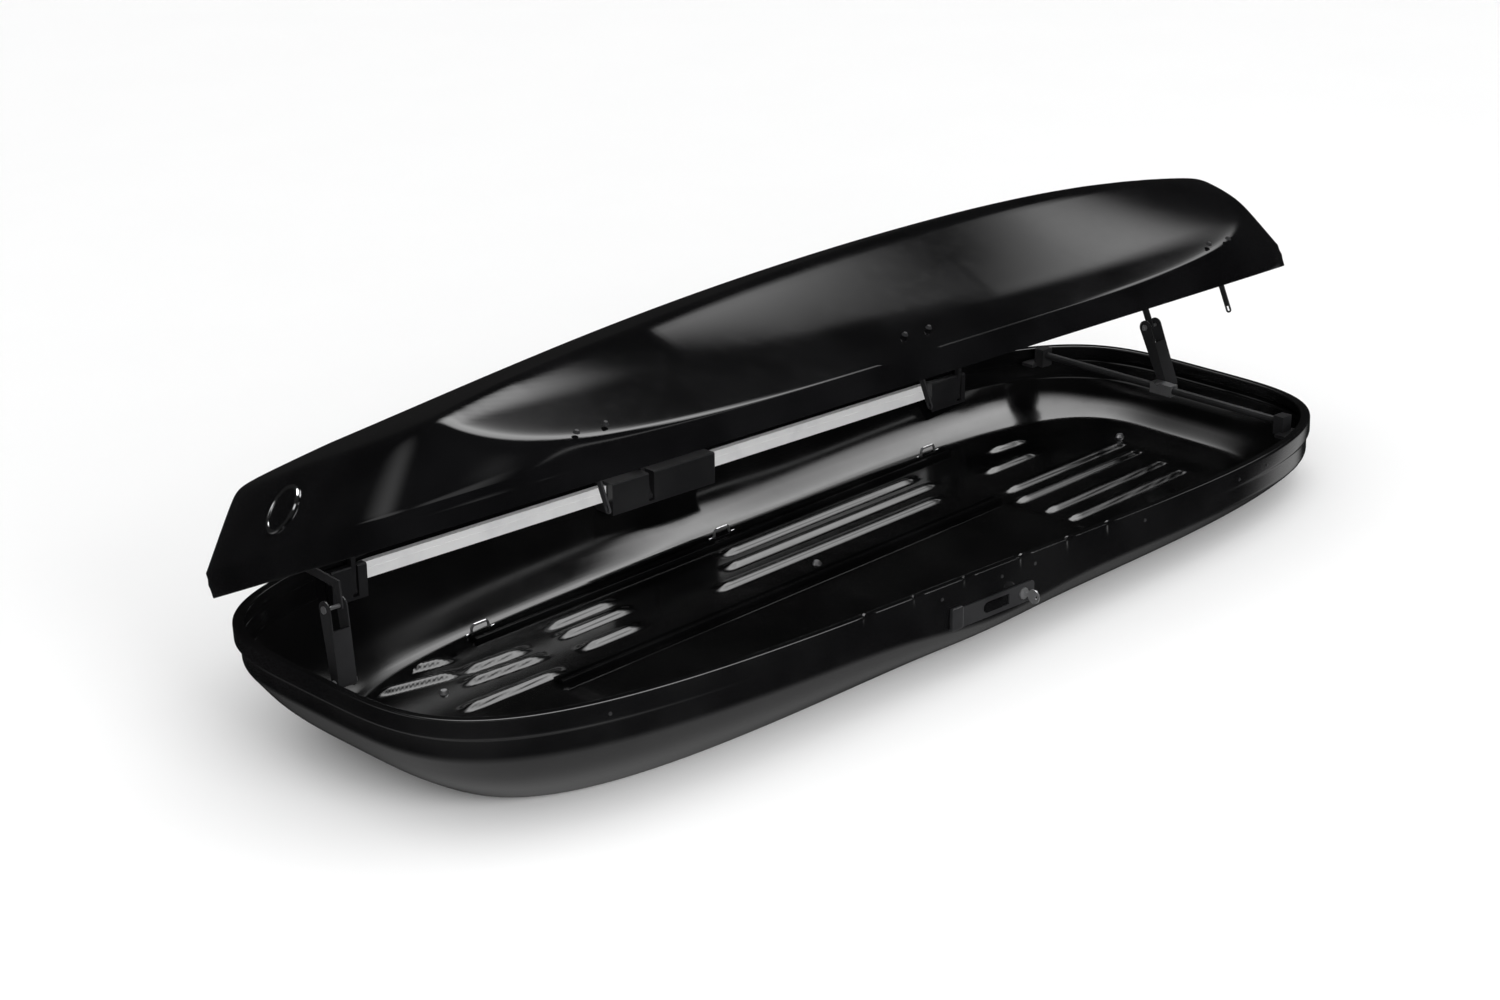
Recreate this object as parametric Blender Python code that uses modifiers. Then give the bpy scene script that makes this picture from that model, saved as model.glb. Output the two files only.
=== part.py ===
"""Roof cargo box with a lid that swings open on one long side, drawn with the lid open.

Metres, +Z up. X runs from the nose (-X) to the tail (+X), the lock side is -Y, the hinge side is +Y.
The origin is on the flat underside, midway between nose and tail.
"""

import math

import bmesh
import bpy
import numpy as np
from mathutils import Matrix

# Base tub
LENGTH = 1.94  # outside of the rim, nose to tail
WIDTH = 0.766  # outside of the rim, side to side
ALONG = LENGTH / 1.94  # stations below are laid out on a box this long
ACROSS = WIDTH / 0.766  # and places across it on a box this wide
RIM_HEIGHT = 0.150  # rim plane above the underside, at mid length
RIM_SLOPE = 0.041  # fall of the rim plane towards the tail, per metre
PLAN_POWER = 4.0  # squareness of the outline in plan
WALL = 0.004
RIM_WIDTH = 0.015  # top of the rolled rim
HEM_DEPTH = 0.016  # inner hem of the rolled rim, below the rim plane
RIM_ROUND = 0.003
LIP_DEPTH = 0.028  # bead around nose and tail, below the rim plane
LIP_STEP = 0.010  # how far the bead stands out from the wall at nose and tail
LIP_SHOULDER = 0.003
WALL_DEPTH = 0.062  # upright wall below the rim plane, at nose and tail
LOCK_WALL_DEPTH = 0.020  # how much deeper the upright wall is around the lock
LOCK_WALL_REACH = 0.16 * ALONG
BOTTOM_INSET_SIDE = 0.096
BOTTOM_INSET_NOSE = 0.150
BOTTOM_INSET_TAIL = 0.090
BILGE = ((0.30, 0.52), (0.84, 0.08), (1.0, 0.0))  # share of the inset, share of the crease height
OUTLINE_STEPS = 19  # faces along a quarter of the outline
CORNER_WEIGHT = 0.35  # metres of side that count as one radian of corner, for spacing those faces

# Lid
LID_OPEN = 24.7  # degrees
LID_CLEARANCE = 0.0015  # between the base rim and the inside of the lid skirt
LID_LAP = 0.012  # how far the skirt hangs below the rim plane
SHOULDER = 0.025  # top of the skirt above the rim plane
CROWN_HEIGHT = 0.230  # highest point of the lid above the rim plane
CROWN_X = 0.33 * ALONG
CROWN_FALL_NOSE = 0.070 / ALONG**2  # parabola of the ridge, per metre
CROWN_FALL_TAIL = 0.159 / ALONG**2
BEVEL_DROP = 0.012  # top edge of the side facet below the ridge
BEVEL_Y = 0.205 * ACROSS  # half width of the top panel
BEVEL_BLEND = 2.5
CREASE_X = -0.80 * ALONG  # where the side crease divides
CREASE_Y = 0.265 * ACROSS
CREASE_Y_TAIL = 0.335 * ACROSS
CREASE_HEIGHT = 0.127
CREASE_HEIGHT_TAIL = 0.074
CREASE_END_X = 0.16 * ALONG
NOSE_RAKE = 1.2  # rise over run
TAIL_RAKE = 1.47
LID_RINGS = (0.975, 0.94, 0.90, 0.85, 0.78, 0.70, 0.60, 0.50, 0.30, 0.10)
RIDGE_INSET = 0.30  # the lid's rings shrink to a line this far from each end
HINGE_DEPTH = 0.064  # hinge axis below the rim plane
HINGE_XS = (-0.655 * ALONG, -0.064 * ALONG, 0.675 * ALONG)
STRIKER_XS = (-0.666 * ALONG, -0.046 * ALONG, 0.661 * ALONG)
SCREW_SPREAD = 0.050  # between the two screws of a pair
SCREW_HEIGHT = 0.055  # lid screws above the rim plane
SCREW_RADIUS = 0.005
SCREW_PROUD = 0.004
BADGE_RADIUS = 0.037
BADGE_THICK = 0.003
BADGE_X = 0.037 - LENGTH / 2

# Rails and units along both long walls
RAIL_SET_BACK = 0.014  # face of the rail behind the face of the units
RAIL_THICK = 0.011
RAIL_TOP = 0.027  # below the rim plane
RAIL_TALL = 0.027
RAIL_SHEET = 0.0018
UNIT_TOP = 0.022
UNIT_BOTTOM = 0.076
UNIT_ROOM = 0.0016  # between the back of a unit and the wall
UNIT_MIDDLES = (-0.665 * ALONG, -0.036 * ALONG, 0.6465 * ALONG)
UNIT_LENGTHS = (0.064, 0.224, 0.087)
UNIT_SPANS = tuple((middle - size / 2, middle + size / 2) for middle, size in zip(UNIT_MIDDLES, UNIT_LENGTHS))
UNIT_NAMES = ("front", "centre", "rear")
GAP = 0.0003  # between pieces that touch
RAIL_GAP = 0.0015
PIVOT_RADIUS = 0.003
PIVOT_PLAY = 0.0004
PIN_HALF = 0.014
KNUCKLE_THICK = 0.008
KNUCKLE_HUB = 0.0065
KNUCKLE_HALF = 0.0045
KNUCKLE_CLEAR = 0.003
SLOT_PLAY = 0.0015
SLOT_DEPTH = 0.0715

# Latch bar and lock
LATCH_TRAVEL = 0.014
LATCH_BAR_THICK = 0.003
LATCH_BAR_TOP = 0.059
LATCH_BAR_TALL = 0.008
LATCH_BAR_SPAN = (STRIKER_XS[0] - 0.0235, STRIKER_XS[2] - 0.0105)
LATCH_CHANNEL = 0.0022  # room around the latch bar
CATCH_THICK = 0.004
CATCH_FINGER = 0.016
STRIKER_THICK = 0.003
STRIKER_DEPTH = 0.0575
STRIKER_HALF = 0.0045
STRIKER_EYE = 0.0028
STRIKER_ROOM = 0.002  # between a striker and the hem of the rim
UNIT_COVER = 0.002  # unit face in front of a striker
HINGE_SET_BACK = 0.0085  # hinge axis behind the face of the units
LOCK_SPAN = (-0.096, 0.064)
LOCK_TALL = 0.031
LOCK_TOP = 0.0415
LOCK_THICK = 0.003
LOCK_CAP_SPAN = (-0.120, -0.0965)
LOCK_CAP_THICK = 0.008
WINDOW_SPAN = (-0.048, 0.008)
WINDOW_TALL = 0.017
SLIDER_LENGTH = 0.038
KEY_X = 0.040
KEY_DEPTH = 0.057
CYLINDER_RADIUS = 0.009
KEY_BLADE = (0.0018, 0.0060)
KEY_BOW_RADIUS = 0.011
KEY_INSERT = 0.010

# Lid lifters: an arm on a foot, and a link from the arm's knee to the lid. Each row is x, foot depth, arm length,
# link length, then the top pivot's y and height above the rim plane with the lid shut, then how far
# the link runs on in line with the arm, and how far its plane is from the middle of the arm.
LIFTERS = {
    "front": (0.057 - LENGTH / 2, 0.026, 0.106, 0.240, 0.180, 0.070, 0.030, 0.0108),
    "rear": (LENGTH / 2 - 0.113, 0.004, 0.106, 0.220, 0.180, 0.090, 0.034, 0.0),
}
LIFTER_WIDTH = 0.030
LIFTER_SHEET = 0.002
LIFTER_FOOT_RADIUS = 0.0085
LIFTER_KNEE_RADIUS = 0.0125
LIFTER_PIN = 0.003
LINK_HALF = 0.0065
LINK_THICK = 0.003
SLOT_REACH = 1.08  # slot in the lid bracket, as a share of what the pin needs
SLOT_ROOM = 0.0016
HANGER_HALF = 0.009
HANGER_THICK = 0.003
SPRING_TURNS = 5
SPRING_WIRE = 0.0009
SPRING_RADIUS = 0.0056

# Cross tube at the tail
TUBE_X = LENGTH / 2 - 0.140
TUBE_RADIUS = 0.0065
TUBE_DEPTH = 0.004
TUBE_BLOCK = 0.024
TUBE_SOCKET = 0.014
TUBE_SPLAY = 0.024  # from the tube's end to the end of its bracket

# Load floor
FLOOR_RAIL_YS = (0.255 * ACROSS, 0.040 * ACROSS)
FLOOR_RAIL_SPANS = ((-0.506 * ALONG, 0.555 * ALONG), (-0.515 * ALONG, 0.450 * ALONG))
FLOOR_RAIL_WIDTH = 0.022
FLOOR_RAIL_TALL = 0.007
FLOOR_RAIL_SLOT = 0.008
LOOP_XS = (-0.478 * ALONG, 0.029 * ALONG, 0.524 * ALONG)
LOOP_Y = FLOOR_RAIL_YS[0] + 0.0165
LOOP_HALF = 0.0275
LOOP_TALL = 0.018
LOOP_WIRE = 0.0022
BOLTS = ((-0.650 * ALONG, 0.140 * ACROSS), (0.053 * ALONG, 0.072 * ACROSS), (0.815 * ALONG, 0.075 * ACROSS))
BOLT_RADIUS = 0.008
BOLT_TALL = 0.005

COLOURS = {
    "gloss_black": ((0.010, 0.010, 0.011), 0.12, 0.0),
    "tub_black": ((0.012, 0.012, 0.013), 0.24, 0.0),
    "plastic_black": ((0.020, 0.020, 0.021), 0.45, 0.0),
    "aluminium": ((0.80, 0.80, 0.80), 0.25, 1.0),
    "steel": ((0.55, 0.55, 0.56), 0.35, 1.0),
    "black_steel": ((0.030, 0.030, 0.032), 0.40, 1.0),
    "chrome": ((0.85, 0.85, 0.86), 0.06, 1.0),
}

TILT = math.atan(RIM_SLOPE)
OPEN = math.radians(LID_OPEN)


def clear_scene():
    for old in list(bpy.data.objects):
        bpy.data.objects.remove(old)


def material(name):
    found = bpy.data.materials.get(name)
    if found:
        return found
    colour, roughness, metallic = COLOURS[name]
    made = bpy.data.materials.new(name)
    made.use_nodes = True
    shader = made.node_tree.nodes["Principled BSDF"]
    shader.inputs["Base Color"].default_value = (*colour, 1)
    shader.inputs["Roughness"].default_value = roughness
    shader.inputs["Metallic"].default_value = metallic
    return made


def collection(name, hidden=False):
    made = bpy.data.collections.new(name)
    bpy.context.scene.collection.children.link(made)
    made.hide_render = hidden
    return made


clear_scene()
PARTS = collection("roof_cargo_box")
CUTTERS = collection("cutters", hidden=True)


def empty(name, parent, place, turn=(0, 0, 0)):
    made = bpy.data.objects.new(name, None)
    made.parent = parent
    made.location = place
    made.rotation_euler = turn
    PARTS.objects.link(made)
    return made


def add(name, mesh, finish, parent, place=(0, 0, 0), turn=(0, 0, 0), cutter=False):
    """A named object from a mesh, in the parts or, for a cutter, in the cutters."""
    made = bpy.data.objects.new(name, mesh)
    made.parent = parent
    made.location = place
    made.rotation_euler = turn
    if cutter:
        CUTTERS.objects.link(made)
        made.hide_render = True
        made.display_type = "WIRE"
    else:
        PARTS.objects.link(made)
        mesh.materials.append(material(finish))
    return made


def mesh_of(name, bm, smooth_degrees=None):
    bmesh.ops.recalc_face_normals(bm, faces=bm.faces)
    mesh = bpy.data.meshes.new(name)
    bm.to_mesh(mesh)
    bm.free()
    if smooth_degrees:
        mesh.shade_smooth()
        mesh.set_sharp_from_angle(angle=math.radians(smooth_degrees))
    return mesh


def box_mesh(name, low, high):
    """A box between two corners."""
    bm = bmesh.new()
    middle = [(a + b) / 2 for a, b in zip(low, high)]
    size = [b - a for a, b in zip(low, high)]
    bmesh.ops.create_cube(bm, size=1, matrix=Matrix.Translation(middle) @ Matrix.Diagonal((*size, 1)))
    return mesh_of(name, bm)


AXIS_TURN = {"X": Matrix.Rotation(math.pi / 2, 4, "Y"), "Y": Matrix.Rotation(math.pi / 2, 4, "X"), "Z": Matrix()}


def rod_mesh(name, radius, start, end, axis, centre, segments=20, far_radius=None):
    """A round rod along one axis, from start to end, through centre in the two other axes."""
    bm = bmesh.new()
    middle = list(centre)
    middle["XYZ".index(axis)] = (start + end) / 2
    bmesh.ops.create_cone(
        bm, cap_ends=True, segments=segments, radius1=radius, radius2=radius if far_radius is None else far_radius,
        depth=end - start, matrix=Matrix.Translation(middle) @ AXIS_TURN[axis],
    )
    return mesh_of(name, bm, 40)


def prism_mesh(name, outline, start, end, axis="X"):
    """A flat outline pulled along one axis. Its points are in the two other axes, in the order YZ, XZ or XY."""
    bm = bmesh.new()
    slot = "XYZ".index(axis)
    rings = []
    for level in (start, end):
        ring = []
        for point in outline:
            place = list(point)
            place.insert(slot, level)
            ring.append(bm.verts.new(place))
        rings.append(ring)
    bm.faces.new(rings[0])
    bm.faces.new(rings[1][::-1])
    for i in range(len(outline)):
        j = (i + 1) % len(outline)
        bm.faces.new((rings[0][i], rings[1][i], rings[1][j], rings[0][j]))
    return mesh_of(name, bm, 30)


def arc(centre, radius, start, end, steps):
    """Points on an arc, in degrees from the first axis towards the second."""
    angles = np.radians(np.linspace(start, end, steps + 1))
    return [(centre[0] + radius * math.cos(a), centre[1] + radius * math.sin(a)) for a in angles]


def boolean(target, cutter, operation="DIFFERENCE", solver="EXACT"):
    modifier = target.modifiers.new(cutter.name, "BOOLEAN")
    modifier.solver = solver
    modifier.operation = operation
    modifier.object = cutter


def cut(target, name, mesh, solver="EXACT"):
    """Cuts a mesh, given in the target's own coordinates, out of the target."""
    cutter = add(name, mesh, None, target.parent, target.location, target.rotation_euler, cutter=True)
    boolean(target, cutter, "DIFFERENCE", solver)


def join(target, name, mesh):
    boolean(target, add(name, mesh, None, target.parent, target.location, target.rotation_euler, cutter=True), "UNION")


# ---- Outline and shells


def unit_outline():
    """Closed ring of a superellipse with semi-axes 1, in plan, anticlockwise from the tail, closest at the corners."""
    angle = np.linspace(0, math.pi / 2, 4001)
    x = np.cos(angle) ** (2 / PLAN_POWER)
    y = np.sin(angle) ** (2 / PLAN_POWER)
    run_x = np.diff(x) * LENGTH / 2
    run_y = np.diff(y) * WIDTH / 2
    turn = np.abs(np.diff(np.unwrap(np.arctan2(run_y, run_x)), prepend=math.pi / 2))
    pace = np.concatenate([[0], np.cumsum(np.hypot(run_x, run_y) + CORNER_WEIGHT * turn)])
    even = np.linspace(0, pace[-1], OUTLINE_STEPS + 1)
    x = np.interp(even, pace, x)
    y = np.interp(even, pace, y)
    x = np.concatenate([x, -x[-2::-1]])
    y = np.concatenate([y, y[-2::-1]])
    return np.concatenate([x, x[-2:0:-1]]), np.concatenate([y, -y[-2:0:-1]])


UNIT_X, UNIT_Y = unit_outline()


def outline(nose_inset, tail_inset, side_inset):
    """The plan outline, drawn in from the outside of the rim by a nose, a tail and a side inset."""
    reach = np.where(UNIT_X > 0, LENGTH / 2 - tail_inset, LENGTH / 2 - nose_inset)
    return UNIT_X * reach, UNIT_Y * (WIDTH / 2 - side_inset)


def wall_depth(x):
    """Depth of the upright wall: a little more around the lock."""
    middle = (LOCK_SPAN[0] + LOCK_SPAN[1]) / 2
    return WALL_DEPTH + LOCK_WALL_DEPTH * np.exp(-(((x - middle) / LOCK_WALL_REACH) ** 2))


def rim_z(x, height=0.0):
    return RIM_HEIGHT - RIM_SLOPE * x + height


def half_width(x, end_inset, side_inset):
    """Half width of an inset outline at a station."""
    return (WIDTH / 2 - side_inset) * (1 - (abs(x) / (LENGTH / 2 - end_inset)) ** PLAN_POWER) ** (1 / PLAN_POWER)


def inside_wall(x, depth=0.0):
    """Inside of the wall, from the middle, at a station and a depth below the rim, down to the first bilge ring."""
    upright = half_width(x, LIP_STEP, 0)
    crease = float(wall_depth(x))
    share, level = BILGE[0]
    lower = half_width(x, LIP_STEP + share * (BOTTOM_INSET_NOSE - LIP_STEP), share * BOTTOM_INSET_SIDE)
    fall = (1 - level) * (RIM_HEIGHT - RIM_SLOPE * x - crease)
    run = upright - lower
    sheet = WALL * math.hypot(fall, run) / fall
    return min(upright - WALL, upright - sheet - run * (depth - crease) / fall)


# The strikers pass close inside the hem, and the units, the rails, the hinge and the latch bar are placed from them.
STRIKER_Y = half_width(max(abs(x) for x in STRIKER_XS), RIM_WIDTH, RIM_WIDTH) - STRIKER_HALF - STRIKER_ROOM
UNIT_FACE = STRIKER_Y - STRIKER_HALF - UNIT_COVER
RAIL_FACE = UNIT_FACE + RAIL_SET_BACK
HINGE_Y = UNIT_FACE + HINGE_SET_BACK
LATCH_BAR_BACK = STRIKER_Y + LATCH_BAR_THICK / 2
TUBE_FOOT = inside_wall(TUBE_X + 0.022) - 2 * GAP
TUBE_HALF = TUBE_FOOT - TUBE_SPLAY

# Everything on the rim is placed in the rim's own tilted frame, whose z is the height above the rim plane.
RIM = empty("rim_frame", None, (0, 0, RIM_HEIGHT), (0, TILT, 0))
HINGE = empty("lid_hinge", RIM, (0, HINGE_Y, -HINGE_DEPTH), (-OPEN, 0, 0))
LID = empty("lid_frame", HINGE, (0, -HINGE_Y, HINGE_DEPTH))


def sheet_object(name, rings, last_faces, finish, parent, sharp, rising):
    """A shell of one wall thickness inside rings of points, closed by the faces listed over the last ring.

    The rings run anticlockwise, and rising says whether they go up or down.
    """
    bm = bmesh.new()
    rows = [[bm.verts.new(p) for p in zip(*ring)] for ring in rings]
    count = len(rows[0])
    for low, high in zip(rows, rows[1:]):
        for i in range(count):
            j = (i + 1) % count
            corners = (low[i], low[j], high[j], high[i])
            bm.faces.new(corners if rising else corners[::-1])
    for face in last_faces:
        corners = [rows[-1][i] for i in face]
        bm.faces.new(corners if rising else corners[::-1])
    mesh = bpy.data.meshes.new(name)
    bm.to_mesh(mesh)
    bm.free()
    mesh.shade_smooth()
    mesh.set_sharp_from_angle(angle=math.radians(sharp))
    made = add(name, mesh, finish, parent)
    shell = made.modifiers.new("wall", "SOLIDIFY")
    shell.thickness = WALL
    shell.offset = -1
    return made


def base_tub():
    """Sheet from the hem of the rolled rim, over the rim, down the wall and round the bilge to the flat bottom."""
    rings = []
    for inset, height in (
        (RIM_WIDTH, -HEM_DEPTH),
        (RIM_WIDTH, -RIM_ROUND),
        (RIM_WIDTH - RIM_ROUND, 0),
        (RIM_ROUND, 0),
        (0, -RIM_ROUND),
        (0, -LIP_DEPTH),
    ):
        x, y = outline(inset, inset, inset)
        rings.append((x, y, rim_z(x, height)))
    x, y = outline(LIP_STEP, LIP_STEP, 0)
    rings.append((x, y, rim_z(x, -LIP_DEPTH - LIP_SHOULDER)))
    rings.append((x, y, rim_z(x, -wall_depth(x))))
    for share, level in BILGE:
        nose = LIP_STEP + share * (BOTTOM_INSET_NOSE - LIP_STEP)
        tail = LIP_STEP + share * (BOTTOM_INSET_TAIL - LIP_STEP)
        x, y = outline(nose, tail, share * BOTTOM_INSET_SIDE)
        rings.append((x, y, level * rim_z(x, -wall_depth(x))))
    return sheet_object("base_tub", rings, [range(len(UNIT_X))], "tub_black", None, 35, False)


def mix(a, b, t):
    return a + (b - a) * np.clip(t, 0, 1)


def crown(x):
    fall = np.where(x < CROWN_X, CROWN_FALL_NOSE, CROWN_FALL_TAIL)
    return CROWN_HEIGHT - fall * (x - CROWN_X) ** 2


LID_OUT = LID_CLEARANCE + WALL  # outside of the skirt from the outside of the rim


def lid_end(y):
    """Half length of the skirt at a distance from the middle line."""
    share = np.clip(np.abs(y) / (WIDTH / 2 + LID_OUT), 0, 1)
    return (LENGTH / 2 + LID_OUT) * (1 - share**PLAN_POWER) ** (1 / PLAN_POWER)


def lid_height(x, y):
    """Outside of the lid above the rim plane: side band, side facet and top panel, cut by the nose and tail rakes."""
    across = np.abs(y)
    along = (x - CREASE_X) / (CREASE_END_X - CREASE_X)
    crease_y = mix(CREASE_Y, CREASE_Y_TAIL, along)
    crease_h = mix(CREASE_HEIGHT, CREASE_HEIGHT_TAIL, along)
    bevel_y = mix(CREASE_Y - 0.004, BEVEL_Y, along * BEVEL_BLEND)
    bevel_h = crown(x) - BEVEL_DROP * np.clip(along * BEVEL_BLEND, 0.3, 1)
    skirt_y = WIDTH / 2 + LID_OUT
    band = SHOULDER + (crease_h - SHOULDER) * (skirt_y - across) / (skirt_y - crease_y)
    facet = crease_h + (bevel_h - crease_h) * (crease_y - across) / (crease_y - bevel_y)
    top = crown(x) - (crown(x) - bevel_h) * (across / bevel_y) ** 2
    section = np.where(across > crease_y, band, np.where(across > bevel_y, facet, top))
    nose = SHOULDER + NOSE_RAKE * (x + lid_end(y))
    tail = SHOULDER + TAIL_RAKE * (lid_end(y) - x)
    return np.maximum(np.minimum(section, np.minimum(nose, tail)), SHOULDER)


def lid_shell():
    """Sheet from the lower edge of the skirt up to the shoulder and over the crown, in rings that shrink to the ridge."""
    edge_x, edge_y = outline(-LID_OUT, -LID_OUT, -LID_OUT)
    ridge_x = np.clip(edge_x, RIDGE_INSET - LENGTH / 2, LENGTH / 2 - RIDGE_INSET)
    rings = [(edge_x, edge_y, np.full_like(edge_x, height)) for height in (-LID_LAP, SHOULDER)]
    for share in LID_RINGS:
        x = ridge_x + (edge_x - ridge_x) * share
        y = edge_y * share
        rings.append((x, y, lid_height(x, y)))
    count = len(edge_x)
    faces = []
    for i in range(count // 2):
        corners = dict.fromkeys((i, i + 1, (count - i - 1) % count, (count - i) % count))
        faces.append(list(corners))
    return sheet_object("lid_shell", rings, faces, "gloss_black", LID, 25, True)


TUB = base_tub()
lid_shell()


# ---- Rails and units. Far pieces are drawn at +Y; near pieces are the same outlines mirrored to -Y.


def side_outline(points, side):
    """Outline in YZ for one long side: side is 1 for the hinge side, -1 for the lock side."""
    return [(side * y, z) for y, z in points]


def span_box(name, xs, ys, zs, side=1):
    low_y, high_y = sorted(side * y for y in ys)
    return box_mesh(name, (min(xs), low_y, min(zs)), (max(xs), high_y, max(zs)))


def rail(name, start, end, side):
    """Channel of thin sheet: its face is towards the middle and its back is open, with two flutes in the face."""
    back = RAIL_FACE + RAIL_THICK
    low = -RAIL_TOP - RAIL_TALL
    flute = -RAIL_TOP - 0.4 * RAIL_TALL
    face = [
        (back, -RAIL_TOP),
        (RAIL_FACE, -RAIL_TOP),
        (RAIL_FACE, flute + 0.0008),
        (RAIL_FACE + 0.0008, flute),
        (RAIL_FACE, flute - 0.0008),
        (RAIL_FACE, low),
        (back, low),
        (back, low + RAIL_SHEET),
        (RAIL_FACE + RAIL_SHEET + 0.0008, low + RAIL_SHEET),
        (RAIL_FACE + RAIL_SHEET + 0.0008, -RAIL_TOP - RAIL_SHEET),
        (back, -RAIL_TOP - RAIL_SHEET),
    ]
    add(name, prism_mesh(name, side_outline(face, side), start, end), "aluminium", RIM)


for side, side_name in ((1, "far"), (-1, "near")):
    for i, rail_name in enumerate(("front", "rear")):
        rail(f"rail_{side_name}_{rail_name}", UNIT_SPANS[i][1] + RAIL_GAP, UNIT_SPANS[i + 1][0] - RAIL_GAP, side)

SLOT_HALF = KNUCKLE_THICK / 2 + SLOT_PLAY


def unit(name, span, side):
    """Block on the wall: its back follows the wall at its end that is further from mid length."""
    x = max(abs(span[0]), abs(span[1])) * math.copysign(1, span[0] + span[1])
    back = inside_wall(x) - UNIT_ROOM
    foot_back = inside_wall(x, UNIT_BOTTOM) - UNIT_ROOM
    shoulder = min(wall_depth(x) - 0.003, UNIT_BOTTOM - 0.004)
    section = [
        (UNIT_FACE, -UNIT_BOTTOM),
        (min(foot_back, back), -UNIT_BOTTOM),
        (back, -shoulder),
        (back, -UNIT_TOP - 0.003),
        (back - 0.003, -UNIT_TOP),
        (UNIT_FACE + 0.002, -UNIT_TOP),
        (UNIT_FACE, -UNIT_TOP - 0.002),
    ]
    return add(name, prism_mesh(name, side_outline(section, side), *span), "plastic_black", RIM)


for unit_name, span, hinge_x in zip(UNIT_NAMES, UNIT_SPANS, HINGE_XS):
    far = unit(f"hinge_unit_{unit_name}", span, 1)
    slot = span_box(
        f"hinge_slot_{unit_name}", (hinge_x - SLOT_HALF, hinge_x + SLOT_HALF), (UNIT_FACE - 0.01, WIDTH / 2),
        (-SLOT_DEPTH, 0),
    )
    cut(far, slot.name, slot)
    axis = (hinge_x, HINGE_Y, -HINGE_DEPTH)
    cut(far, f"pin_bore_{unit_name}", rod_mesh(
        "pin_bore", PIVOT_RADIUS + GAP, hinge_x - PIN_HALF - GAP, hinge_x + PIN_HALF + GAP, "X", axis, 16))
    pin = rod_mesh("hinge_pin", PIVOT_RADIUS, hinge_x - PIN_HALF, hinge_x + PIN_HALF, "X", axis, 16)
    add(f"hinge_pin_{unit_name}", pin, "steel", RIM)


def strap(points, half, tip_steps=6):
    """Outline of a flat strap of one half width along a bent line, rounded at both ends."""
    line = np.array(points, float)
    runs = np.diff(line, axis=0)
    runs /= np.linalg.norm(runs, axis=1)[:, None]
    left = np.stack([-runs[:, 1], runs[:, 0]], 1)
    mitres = [left[0]]
    for a, b in zip(left, left[1:]):
        both = a + b
        mitres.append(both / (both @ a))
    mitres.append(left[-1])
    one = [tuple(p + half * m) for p, m in zip(line, mitres)]
    two = [tuple(p - half * m) for p, m in zip(line, mitres)]
    start = math.degrees(math.atan2(left[0][1], left[0][0]))
    end = math.degrees(math.atan2(-left[-1][1], -left[-1][0]))
    return one[:-1] + arc(line[-1], half, end + 180, end, tip_steps) + two[1:-1][::-1] + arc(
        line[0], half, start + 180, start, tip_steps)


def opened(y, z, angle=OPEN):
    """Where a point given with the lid shut is with the lid open, in the YZ plane of the rim's frame."""
    a, b = y - HINGE_Y, z + HINGE_DEPTH
    return np.array((
        HINGE_Y + a * math.cos(angle) + b * math.sin(angle), -HINGE_DEPTH - a * math.sin(angle) + b * math.cos(angle)))


def shut(y, z, angle=OPEN):
    """The other way: where a point of the rim's frame lies in the lid's own frame when the lid is open."""
    return opened(y, z, -angle)


def lid_inside(x):
    return half_width(x, -LID_CLEARANCE, -LID_CLEARANCE)


FLANGE_HALF = 0.006
FLANGE_HEIGHTS = (0.002, 0.019)
STRAP_HEIGHT = 0.0145

# Knuckles: swan-neck arms from the hinge axis, inboard of the rolled rim even with the lid open, then over it to the lid.
for unit_name, hinge_x in zip(UNIT_NAMES, HINGE_XS):
    low, high = hinge_x - KNUCKLE_THICK / 2, hinge_x + KNUCKLE_THICK / 2
    rim_inner = half_width(hinge_x, RIM_WIDTH, RIM_WIDTH)
    rim_outer = half_width(hinge_x, 0, 0)
    inboard = shut(-1, 0) - shut(0, 0)
    above = shut(0, 1) - shut(0, 0)
    room = KNUCKLE_HALF + KNUCKLE_CLEAR
    wall_y = lid_inside(abs(hinge_x) + FLANGE_HALF) - 3 * GAP
    line = [
        (HINGE_Y, -HINGE_DEPTH),
        shut(rim_inner, -HEM_DEPTH) + room * inboard,
        shut(rim_inner, 0) + room * (inboard + above) * 0.85,
        shut(rim_outer, 0) + room * above,
        (wall_y - KNUCKLE_HALF - 0.002, STRAP_HEIGHT),
    ]
    name = f"knuckle_{unit_name}"
    made = add(name, prism_mesh(name, strap(line, KNUCKLE_HALF), low, high), "black_steel", LID)
    join(made, f"hub_{unit_name}", rod_mesh(
        "hub", KNUCKLE_HUB, low, high, "X", (0, HINGE_Y, -HINGE_DEPTH), 18))
    flange = box_mesh(
        "flange", (hinge_x - FLANGE_HALF, wall_y - 0.0045, FLANGE_HEIGHTS[0]), (hinge_x + FLANGE_HALF, wall_y, FLANGE_HEIGHTS[1]))
    join(made, f"knuckle_flange_{unit_name}", flange)
    cut(made, f"hub_bore_{unit_name}", rod_mesh(
        "hub_bore", PIVOT_RADIUS + PIVOT_PLAY, low - 0.01, high + 0.01, "X", (0, HINGE_Y, -HINGE_DEPTH), 16))

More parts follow.
